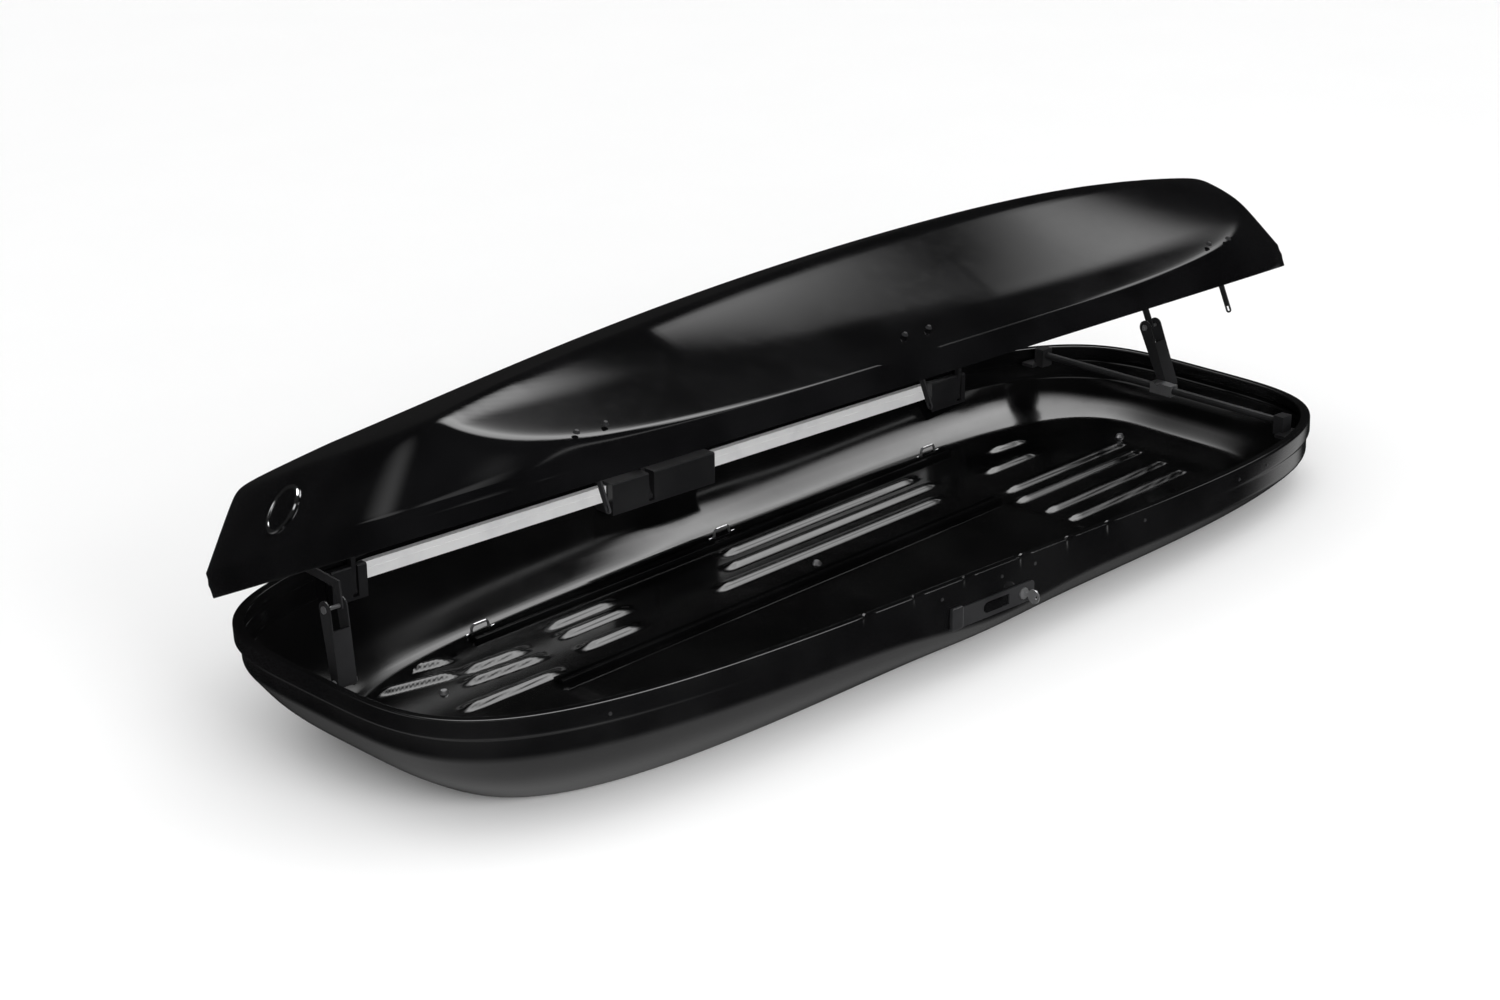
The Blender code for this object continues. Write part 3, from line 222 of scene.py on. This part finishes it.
class NodeSet:
    def __init__(self, tree):
        self.tree = tree

    def node(self, kind, settings=None, sockets=None, output=0):
        made = self.tree.nodes.new(kind)
        for key, value in (settings or {}).items():
            setattr(made, key, value)
        for key, value in (sockets or {}).items():
            if isinstance(value, Wire):
                self.tree.links.new(value.socket, made.inputs[key])
            else:
                made.inputs[key].default_value = value
        return Wire(self.tree, made.outputs[output])

    def blend(self, share, first, second):
        # colour mix; first where the share is 0
        return self.node(
            "ShaderNodeMix", {"data_type": "RGBA"}, {0: share, 6: first, 7: second}, 2
        )


class Finish(NodeSet):
    def __init__(self, name, **fixed):
        self.material = bpy.data.materials.new(name)
        self.material.use_nodes = True
        super().__init__(self.material.node_tree)
        self.shader = self.tree.nodes["Principled BSDF"]
        self.place = self.node("ShaderNodeTexCoord", output="Object")
        self.feed(**fixed)

    def feed(self, **values):
        for key, value in values.items():
            words = "".join(" " + c if c.isupper() else c for c in key)
            slot = self.shader.inputs[words.strip().title()]
            if isinstance(value, Wire):
                self.tree.links.new(value.socket, slot)
            else:
                slot.default_value = value

    def noise(self, scale, detail=3.0, stretch=(1, 1, 1)):
        place = self.node("ShaderNodeMapping", None, {"Vector": self.place, "Scale": stretch})
        sockets = {"Vector": place, "Scale": scale, "Detail": detail}
        return self.node("ShaderNodeTexNoise", None, sockets, "Fac")

    def bump(self, height, strength, distance):
        sockets = {"Height": height, "Strength": strength, "Distance": distance}
        self.feed(Normal=self.node("ShaderNodeBump", None, sockets))


finishes = {
    # colour, second colour, roughness, how far the roughness varies, metallic, grain size, grain strength
    "glossBlack": dict(
        dark=(0.0016, 0.0016, 0.0018), light=(0.0034, 0.0034, 0.0037),
        rough=0.085, vary=0.05, metal=0.0, grain=420, strength=0.02,
    ),
    "tubBlack": dict(
        dark=(0.0022, 0.0022, 0.0024), light=(0.0048, 0.0048, 0.005),
        rough=0.12, vary=0.07, metal=0.0, grain=260, strength=0.05,
    ),
    "plasticBlack": dict(
        dark=(0.012, 0.012, 0.013), light=(0.022, 0.022, 0.023),
        rough=0.30, vary=0.12, metal=0.0, grain=900, strength=0.12,
    ),
    "blackSteel": dict(
        dark=(0.020, 0.020, 0.021), light=(0.034, 0.034, 0.036),
        rough=0.30, vary=0.14, metal=0.35, grain=700, strength=0.08,
    ),
    "steel": dict(
        dark=(0.42, 0.42, 0.43), light=(0.62, 0.62, 0.63),
        rough=0.26, vary=0.16, metal=0.9, grain=500, strength=0.05,
    ),
    "greySteel": dict(
        dark=(0.16, 0.16, 0.165), light=(0.26, 0.26, 0.265),
        rough=0.32, vary=0.14, metal=0.5, grain=600, strength=0.06,
    ),
    "chrome": dict(
        dark=(0.78, 0.78, 0.79), light=(0.86, 0.86, 0.87),
        rough=0.05, vary=0.06, metal=1.0, grain=300, strength=0.01,
    ),
}


def plainFinish(name, dark, light, rough, vary, metal, grain, strength):
    # patches of wear and haze from one coarse noise, and a fine moulded or plated grain
    made = Finish(name, Metallic=metal)
    patches = made.noise(7.0, 5.0)
    haze = made.noise(46.0, 4.0)
    fine = made.noise(grain, 2.0)
    made.feed(BaseColor=made.blend(patches.between(0.35, 0.7), (*dark, 1), (*light, 1)))
    made.feed(Roughness=rough + vary * (patches.between(0.3, 0.75) * 0.6 + haze.between(0.45, 0.8) * 0.4))
    made.bump(fine * 0.9 + haze * 0.1, strength, 0.0003)
    return made.material


def railFinish():
    # satin extrusion: draw lines along X, and small dull patches
    made = Finish("railAluminium", Metallic=0.1)
    drawn = made.noise(260.0, 3.0, (0.02, 1, 1))
    dull = made.noise(16.0, 4.0)
    made.feed(BaseColor=made.blend(dull.between(0.4, 0.75), (0.95, 0.95, 0.95, 1), (0.84, 0.84, 0.85, 1)))
    made.feed(Roughness=0.30 + 0.15 * drawn + 0.12 * dull.between(0.4, 0.8))
    made.bump(drawn, 0.25, 0.0004)
    return made.material


paint = {name: plainFinish(name, **values) for name, values in finishes.items()}
paint["railAluminium"] = railFinish()
print("finishes ready")

# Lid

lid = {
    "open": 24.7, "hingeY": 0.3395, "hingeDepth": 0.064,
    "out": 0.0055, "lap": 0.012, "shoulder": 0.025, "wall": 0.004,
    "crown": 0.230, "crownX": 0.33, "fallNose": 0.070, "fallTail": 0.159,
    "creaseX": -0.80, "creaseEndX": 0.16, "creaseY": 0.265, "creaseYTail": 0.335,
    "creaseH": 0.127, "creaseHTail": 0.074, "bevelY": 0.205, "bevelDrop": 0.012,
    "noseRake": 1.2, "tailRake": 1.47, "ridgeInset": 0.22, "columns": 600,
    # height and outward swell of each skirt row
    "skirt": (
        (-0.012, 0.0), (-0.0105, 0.0006), (-0.002, 0.0006), (0.003, 0.0009),
        (0.007, 0.0016), (0.011, 0.0009), (0.016, 0.0), (0.0235, 0.0),
    ),
}


def opened(points):
    # lid places with the lid shut, turned up about the hinge axis
    angle = math.radians(lid["open"])
    a, b = points[..., 1] - lid["hingeY"], points[..., 2] + lid["hingeDepth"]
    y = lid["hingeY"] + a * math.cos(angle) + b * math.sin(angle)
    h = -lid["hingeDepth"] - a * math.sin(angle) + b * math.cos(angle)
    return rimToPart(points[..., 0], y, h)


def sectionHeight(x, across):
    # three bands across the lid: side band, facet, and a slightly domed top
    fall = np.where(x < lid["crownX"], lid["fallNose"], lid["fallTail"])
    crown = lid["crown"] - fall * (x - lid["crownX"]) ** 2
    along = (x - lid["creaseX"]) / (lid["creaseEndX"] - lid["creaseX"])
    share, quick = np.clip(along, 0, 1), np.clip(along * 2.5, 0, 1)
    creaseY = lid["creaseY"] + (lid["creaseYTail"] - lid["creaseY"]) * share
    creaseH = lid["creaseH"] + (lid["creaseHTail"] - lid["creaseH"]) * share
    bevelY = lid["creaseY"] - 0.004 + (lid["bevelY"] - lid["creaseY"] + 0.004) * quick
    bevelH = crown - lid["bevelDrop"] * np.clip(along * 2.5, 0.3, 1)
    skirtY = rim["width"] / 2 + lid["out"]
    band = lid["shoulder"] + (creaseH - lid["shoulder"]) * (skirtY - across) / (skirtY - creaseY)
    facet = creaseH + (bevelH - creaseH) * (creaseY - across) / (creaseY - bevelY)
    top = crown - (crown - bevelH) * (across / bevelY) ** 2
    return np.where(across > creaseY, band, np.where(across > bevelY, facet, top))


def lidHeight(x, y):
    # the section, with its creases rounded by a moving average, cut by the rakes at nose and tail
    across = np.abs(y)
    section = sum(sectionHeight(x, np.abs(across + step)) for step in np.linspace(-0.012, 0.012, 9)) / 9
    share = np.clip(across / (rim["width"] / 2 + lid["out"]), 0, 1)
    end = (rim["length"] / 2 + lid["out"]) * (1 - share ** rim["squareness"]) ** (1 / rim["squareness"])
    nose = lid["shoulder"] + lid["noseRake"] * (x + end)
    tail = lid["shoulder"] + lid["tailRake"] * (end - x)
    return np.maximum(softMin(softMin(section, nose, 0.012), tail, 0.016), lid["shoulder"])


ringX, ringY = unitRing(lid["columns"], 0.4, 0.0)
edgeX, edgeY = ringX * (rim["length"] / 2 + lid["out"]), ringY * (rim["width"] / 2 + lid["out"])
ridgeX = np.clip(edgeX, lid["ridgeInset"] - rim["length"] / 2, rim["length"] / 2 - lid["ridgeInset"])
shares = [np.linspace(1, 0.86, 15), np.linspace(0.86, 0.30, 30)[1:], np.linspace(0.30, 0.01, 8)[1:]]
shares = np.concatenate(shares)
skirt = []
for h, swell in lid["skirt"]:
    x, y = edgeX * (1 + swell / 0.97), edgeY * (1 + swell / 0.38)
    skirt.append(np.stack([x, y, np.full_like(edgeX, h)], -1))
crown = []
for share in shares:
    x, y = ridgeX + (edgeX - ridgeX) * share, edgeY * share
    crown.append(np.stack([x, y, lidHeight(x, y) if share < 1 else np.full_like(x, lid["shoulder"])], -1))
outside = np.array((skirt + crown)[::-1])
inside = (outside - lid["wall"] * outwardNormals(outside))[::-1]
inside[0, :, 2] = -lid["lap"]
lidSkin = gridPiece("lidSkin", opened(np.concatenate([outside, inside])), 50)
lidSkin.data.materials.append(paint["glossBlack"])
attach(lidSkin, "lid")
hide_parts("lid_shell")
lidSkin.visible_glossy = False
print("lid ready")

# Tub

tub = {
    "wall": 0.004, "rimWidth": 0.015, "hem": 0.016, "lipDepth": 0.028, "lipStep": 0.010, "lipShoulder": 0.003,
    "wallDepth": 0.062, "lockDepth": 0.020, "lockX": -0.016, "lockReach": 0.16,
    "bottomSide": 0.096, "bottomNose": 0.150, "bottomTail": 0.090,
    "bilge": ((0.30, 0.52), (0.84, 0.08), (1.0, 0.0)),
    "columns": 680, "floorRows": 58, "dimples": (-0.284, -0.182, -0.076, 0.047, 0.153, 0.247),
}
ribs = {
    "halfWidth": 0.013, "tall": 0.0065,
    "runs": (
        (-0.714, 0.264, -0.565, 0.226), (-0.724, 0.214, -0.589, 0.178), (-0.589, 0.178, -0.465, 0.169),
        (-0.614, 0.144, -0.463, 0.130), (-0.671, 0.074, -0.480, 0.070),
        (-0.406, 0.205, -0.258, 0.205), (-0.412, 0.165, -0.259, 0.165), (-0.418, 0.107, -0.290, 0.107),
        (-0.029, 0.212, 0.433, 0.212), (-0.065, 0.168, 0.438, 0.168), (-0.132, 0.115, 0.397, 0.115),
        (0.478, 0.050, 0.800, 0.050), (0.452, 0.005, 0.790, 0.005),
        (0.451, -0.060, 0.780, -0.060), (0.448, -0.112, 0.770, -0.112),
        (0.52, 0.135, 0.66, 0.135), (0.60, 0.200, 0.70, 0.192),
    ),
    "panel": (-0.505, 0.448, 0.010, 0.0045),  # start, end, far side and height of the raised smooth panel
}


def ringAt(nose, tail, side):
    reach = np.where(tubX > 0, rim["length"] / 2 - tail, rim["length"] / 2 - nose)
    return tubX * reach, tubY * (rim["width"] / 2 - side)


def wallDepth(x):
    # the upright wall is deeper around the lock
    return tub["wallDepth"] + tub["lockDepth"] * np.exp(-(((x - tub["lockX"]) / tub["lockReach"]) ** 2))


def floorRelief(x, y):
    # raised ribs with a rounded back and tapered ends, and a smooth panel on the lock side
    height = np.zeros_like(x)
    for x0, y0, x1, y1 in ribs["runs"]:
        run = math.hypot(x1 - x0, y1 - y0)
        alongRib = ((x - x0) * (x1 - x0) + (y - y0) * (y1 - y0)) / run
        offRib = np.abs((y - y0) * (x1 - x0) - (x - x0) * (y1 - y0)) / run
        ends = smoothStep(-0.004, 0.030, alongRib) * smoothStep(-0.004, 0.030, run - alongRib)
        height = np.maximum(height, ribs["tall"] * ends * smoothStep(ribs["halfWidth"], 0.003, offRib))
    start, end, far, tall = ribs["panel"]
    panel = smoothStep(start - 0.02, start, x) * smoothStep(end + 0.004, end - 0.004, x)
    panel = panel * smoothStep(far + 0.006, far - 0.004, y) * smoothStep(-0.235, -0.215, y)
    return np.maximum(height, tall * panel)


tubX, tubY = unitRing(tub["columns"], 0.31, 0.8)
stations = []
for inset, h in ((tub["rimWidth"], -tub["hem"]), (tub["rimWidth"], 0.0), (0.0, 0.0), (0.0, -tub["lipDepth"])):
    x, y = ringAt(inset, inset, inset)
    stations.append(np.stack([x, y, rim["height"] - rim["slope"] * x + h], -1))
x, y = ringAt(tub["lipStep"], tub["lipStep"], 0.0)
for h in (-tub["lipDepth"] - tub["lipShoulder"], -wallDepth(x)):
    stations.append(np.stack([x, y, rim["height"] - rim["slope"] * x + h], -1))
for share, level in tub["bilge"]:
    x, y = ringAt(
        tub["lipStep"] + share * (tub["bottomNose"] - tub["lipStep"]),
        tub["lipStep"] + share * (tub["bottomTail"] - tub["lipStep"]), share * tub["bottomSide"],
    )
    stations.append(np.stack([x, y, level * (rim["height"] - rim["slope"] * x - wallDepth(x))], -1))
floorRing = stations[-1].copy()
floorRidge = np.clip(floorRing[:, 0], -0.70, 0.76)


def floorPlace(share):
    # from the ridge line at 0 to the edge of the flat bottom at 1
    return floorRidge + (floorRing[:, 0] - floorRidge) * share, floorRing[:, 1] * share


x, y = floorPlace(0.93)
stations.append(np.stack([x, y, 0 * floorRidge], -1))
radii = (0.0045, 0.0045, 0.0035, 0.0025, 0.007, 0.05, 0.035, 0.018)
outside = filleted(np.array(stations), radii, (5, 5, 5, 3, 5, 7, 6, 5))
# scoops along the lock side of the rim, pushed in from the outside
height = outside[..., 2] - (rim["height"] - rim["slope"] * outside[..., 0])
onSide = (outside[..., 1] < -0.3) & (np.arange(len(outside))[:, None] > 7)
for middle in tub["dimples"]:
    off = np.hypot((outside[..., 0] - middle) / 0.0135, (height + 0.003) / 0.022)
    outside[..., 1] += np.where(onSide, 0.0055 * smoothStep(1.0, 0.35, off), 0)
inside = (outside - tub["wall"] * outwardNormals(outside))[::-1]
inside[0, :, 2] = tub["wall"]
under, upper = [], []
for share in (0.02, 0.5):
    x, y = floorPlace(share)
    under.append(np.stack([x, y, 0 * floorRidge], -1))
for share in np.linspace(0.915, 0.012, tub["floorRows"]):
    x, y = floorPlace(share)
    upper.append(np.stack([x, y, tub["wall"] + floorRelief(x, y)], -1))
# one closed path: under the floor, up the outside to the hem, down the inside, and in over the floor
rows = np.concatenate([np.array(under), outside[::-1], inside[::-1], np.array(upper)])
tubSkin = gridPiece("tubSkin", rows, 55)
tubSkin.data.materials.append(paint["tubBlack"])
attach(tubSkin, "base")
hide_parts("base_tub")
print("tub ready")

# Small pieces on the rim and the lid

details = {
    "rivetXs": (-0.736, -0.135, -0.006, 0.068, 0.327, 0.580, 0.667),
    "rivetDepth": 0.018, "rivetRadius": 0.0028,
}


def sideAt(x):
    # half width of the rim's superellipse
    share = abs(x) / (rim["length"] / 2)
    return rim["width"] / 2 * (1 - share ** rim["squareness"]) ** (1 / rim["squareness"])


rivets = []
for x in details["rivetXs"]:
    slope = (sideAt(x + 0.001) - sideAt(x - 0.001)) / 0.002
    centre = rimToPart(x, -sideAt(x), -details["rivetDepth"])
    r = details["rivetRadius"]
    dome = [(r, -0.001), (r, 0.0006), (0.7 * r, 0.0013), (0.3 * r, 0.0016)]
    rivets.append(lathe(dome, 20, centre, (-slope, -1, 0), (0, 0, 1)))
rimRivets = solidPiece("rimRivets", rivets, 40)
rimRivets.data.materials.append(paint["plasticBlack"])
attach(rimRivets, "base")

badge = {"x": -0.933, "radius": 0.037}
badgeAxis = np.array([-lid["noseRake"], 0, 1.0]) / math.hypot(lid["noseRake"], 1)
badgeH = lid["shoulder"] + lid["noseRake"] * (badge["x"] + rim["length"] / 2 + lid["out"])
badgeCentre = np.array([badge["x"], 0, badgeH]) + 0.0002 * badgeAxis
r = badge["radius"]
ring = [
    (r * 0.99, -0.0008), (r, 0.0012), (r * 0.97, 0.0030), (r * 0.92, 0.0036),
    (r * 0.87, 0.0030), (r * 0.84, 0.0016), (r * 0.80, 0.0014),
]
dish = [(r * 0.845, 0.0006), (r * 0.83, 0.0018), (r * 0.70, 0.0026), (r * 0.45, 0.0034), (r * 0.15, 0.0037)]
badgeRing = solidPiece("badgeRing", [lathe(ring, 72, badgeCentre, badgeAxis, (0, 1, 0))], 40, opened)
badgeRing.data.materials.append(paint["chrome"])
badgeDish = solidPiece("badgeDish", [lathe(dish, 72, badgeCentre, badgeAxis, (0, 1, 0))], 40, opened)
badgeDish.data.materials.append(paint["glossBlack"])
for made in (badgeRing, badgeDish):
    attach(made, "lid")
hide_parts("badge")
print("small pieces ready")

# Finishes of the pieces that keep their own shape

finishOf = (
    ("rail_", "railAluminium"), ("hinge_unit", "plasticBlack"), ("latch_unit", "plasticBlack"),
    ("tube_bracket", "plasticBlack"), ("floor_rail", "tubBlack"), ("lock_plate", "plasticBlack"),
    ("lock_cap", "plasticBlack"), ("release_slider", "glossBlack"), ("knuckle", "blackSteel"),
    ("striker", "blackSteel"), ("lifter_arm", "blackSteel"), ("lifter_link", "blackSteel"),
    ("lid_bracket", "blackSteel"), ("cross_tube", "blackSteel"),
    ("lifter_foot_front", "greySteel"), ("lid_screw", "plasticBlack"), ("badge", "chrome"),
)
for name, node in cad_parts.items():
    chosen = next((finish for start, finish in finishOf if name.startswith(start)), "steel")
    for slot in node.material_slots:
        slot.material = paint[chosen]
print("finishes given")

# Stage, light and camera

stage = {"floorColour": (0.93, 0.93, 0.93), "fill": 1.05, "dark": 0.012, "fromBelow": 0.4}
softBoxes = (
    # azimuth from +X towards +Y, elevation, half width, half height and turn in degrees, soft share of the
    # edge, strength
    (33.0, 58.0, 26.0, 19.0, -12.0, 0.7, 5.0),
    (14.0, 34.0, 8.0, 6.0, 0.0, 0.8, 2.2),
    (-2.0, 53.0, 9.0, 10.0, 0.0, 0.5, 3.0),
    (-46.0, 48.0, 26.0, 1.6, 0.0, 0.5, 1.1),
    (-5.0, -22.0, 18.0, 14.0, 0.0, 0.8, 0.8),
    (150.0, 42.0, 30.0, 14.0, 0.0, 0.7, 0.9),
    (-130.0, 55.0, 30.0, 14.0, 0.0, 0.7, 0.7),
)


def makeWorld():
    world = bpy.data.worlds.new("studio")
    bpy.context.scene.world = world
    world.use_nodes = True
    nodes = NodeSet(world.node_tree)
    direction = nodes.node("ShaderNodeTexCoord", output="Generated")
    glow = None
    for azimuth, elevation, halfWidth, halfHeight, turn, edge, strength in softBoxes:
        a, e = math.radians(azimuth), math.radians(elevation)
        forward = Vector((math.cos(a) * math.cos(e), math.sin(a) * math.cos(e), math.sin(e)))
        right = Vector((-math.sin(a), math.cos(a), 0))
        up = forward.cross(right)
        spin = Matrix.Rotation(math.radians(turn), 3, forward)
        right, up = spin @ right, spin @ up
        parts = []
        for axis in (forward, right, up):
            dot = {"operation": "DOT_PRODUCT"}
            parts.append(nodes.node("ShaderNodeVectorMath", dot, {0: direction, 1: axis}, "Value"))
        ahead = parts[0].between(0.02, 0.2)
        reach = parts[0].maths("MAXIMUM", parts[0], 0.05)
        wide, tall = math.tan(math.radians(halfWidth)), math.tan(math.radians(halfHeight))
        across = abs(parts[1] / reach).between(wide, wide * (1 - edge))
        along = abs(parts[2] / reach).between(tall, tall * (1 - edge))
        mask = ahead * across * along
        glow = mask * strength if glow is None else glow + mask * strength
    rise = nodes.node("ShaderNodeSeparateXYZ", None, {0: direction}, "Z")
    glow = glow + stage["dark"] + stage["fromBelow"] * rise.between(-0.45, -1.0)
    path = nodes.node("ShaderNodeLightPath", output="Is Glossy Ray")
    # glossy rays meet the soft boxes, all others the plain fill
    boxes = nodes.node("ShaderNodeCombineXYZ", None, {0: glow, 1: glow, 2: glow})
    seen = nodes.blend(path, (stage["fill"],) * 3 + (1,), boxes)
    background = world.node_tree.nodes["Background"]
    world.node_tree.links.new(seen.socket, background.inputs["Color"])


makeWorld()
floorMesh = bpy.data.meshes.new("studioFloor")
floorMesh.from_pydata([(-30, -30, 0), (30, -30, 0), (30, 30, 0), (-30, 30, 0)], [], [(0, 1, 2, 3)])
floorObject = bpy.data.objects.new("studioFloor", floorMesh)
bpy.context.scene.collection.objects.link(floorObject)
floorFinish = Finish("palePaper", Roughness=0.9)
floorTones = (*stage["floorColour"], 1), (0.95, 0.95, 0.95, 1)
floorFinish.feed(BaseColor=floorFinish.blend(floorFinish.noise(3.0), *floorTones))
floorMesh.materials.append(floorFinish.material)
floorObject.visible_glossy = False

# a soft lamp towards the open side, for the parts inside
fillLight = {"power": 70.0, "size": 1.6, "place": (-1.0, -2.9, 1.15), "aim": (0.0, 0.2, 0.2)}
lampData = bpy.data.lights.new("fillLight", "AREA")
lampData.energy = fillLight["power"]
lampData.size = fillLight["size"]
lamp = bpy.data.objects.new("fillLight", lampData)
lamp.location = fillLight["place"]
lamp.rotation_euler = (lamp.location - Vector(fillLight["aim"])).to_track_quat("Z", "Y").to_euler()
lamp.visible_glossy = False
bpy.context.scene.collection.objects.link(lamp)

camera = {"azimuth": -44.7, "elevation": 20.26, "distance": 4.51, "lens": 69.2, "shift": -0.0482}
a, e = math.radians(camera["azimuth"]), math.radians(camera["elevation"])
back = Vector((math.sin(a) * math.cos(e), -math.cos(a) * math.cos(e), math.sin(e)))
right = Vector((math.cos(a), math.sin(a), 0))
axes = Matrix((right, back.cross(right), back)).transposed()
tilt = Matrix.Rotation(lean, 3, "Y")
cameraData = bpy.data.cameras.new("studioCamera")
cameraData.lens = camera["lens"]
cameraData.sensor_width = 36
cameraData.shift_x = camera["shift"]
cameraObject = bpy.data.objects.new("studioCamera", cameraData)
standing = tilt @ back * camera["distance"] + Vector((0, 0, rim["height"]))
cameraObject.matrix_world = Matrix.Translation(standing) @ (tilt @ axes).to_4x4()
bpy.context.scene.collection.objects.link(cameraObject)
bpy.context.scene.camera = cameraObject
bpy.context.scene.view_settings.view_transform = "Standard"
print("stage ready")
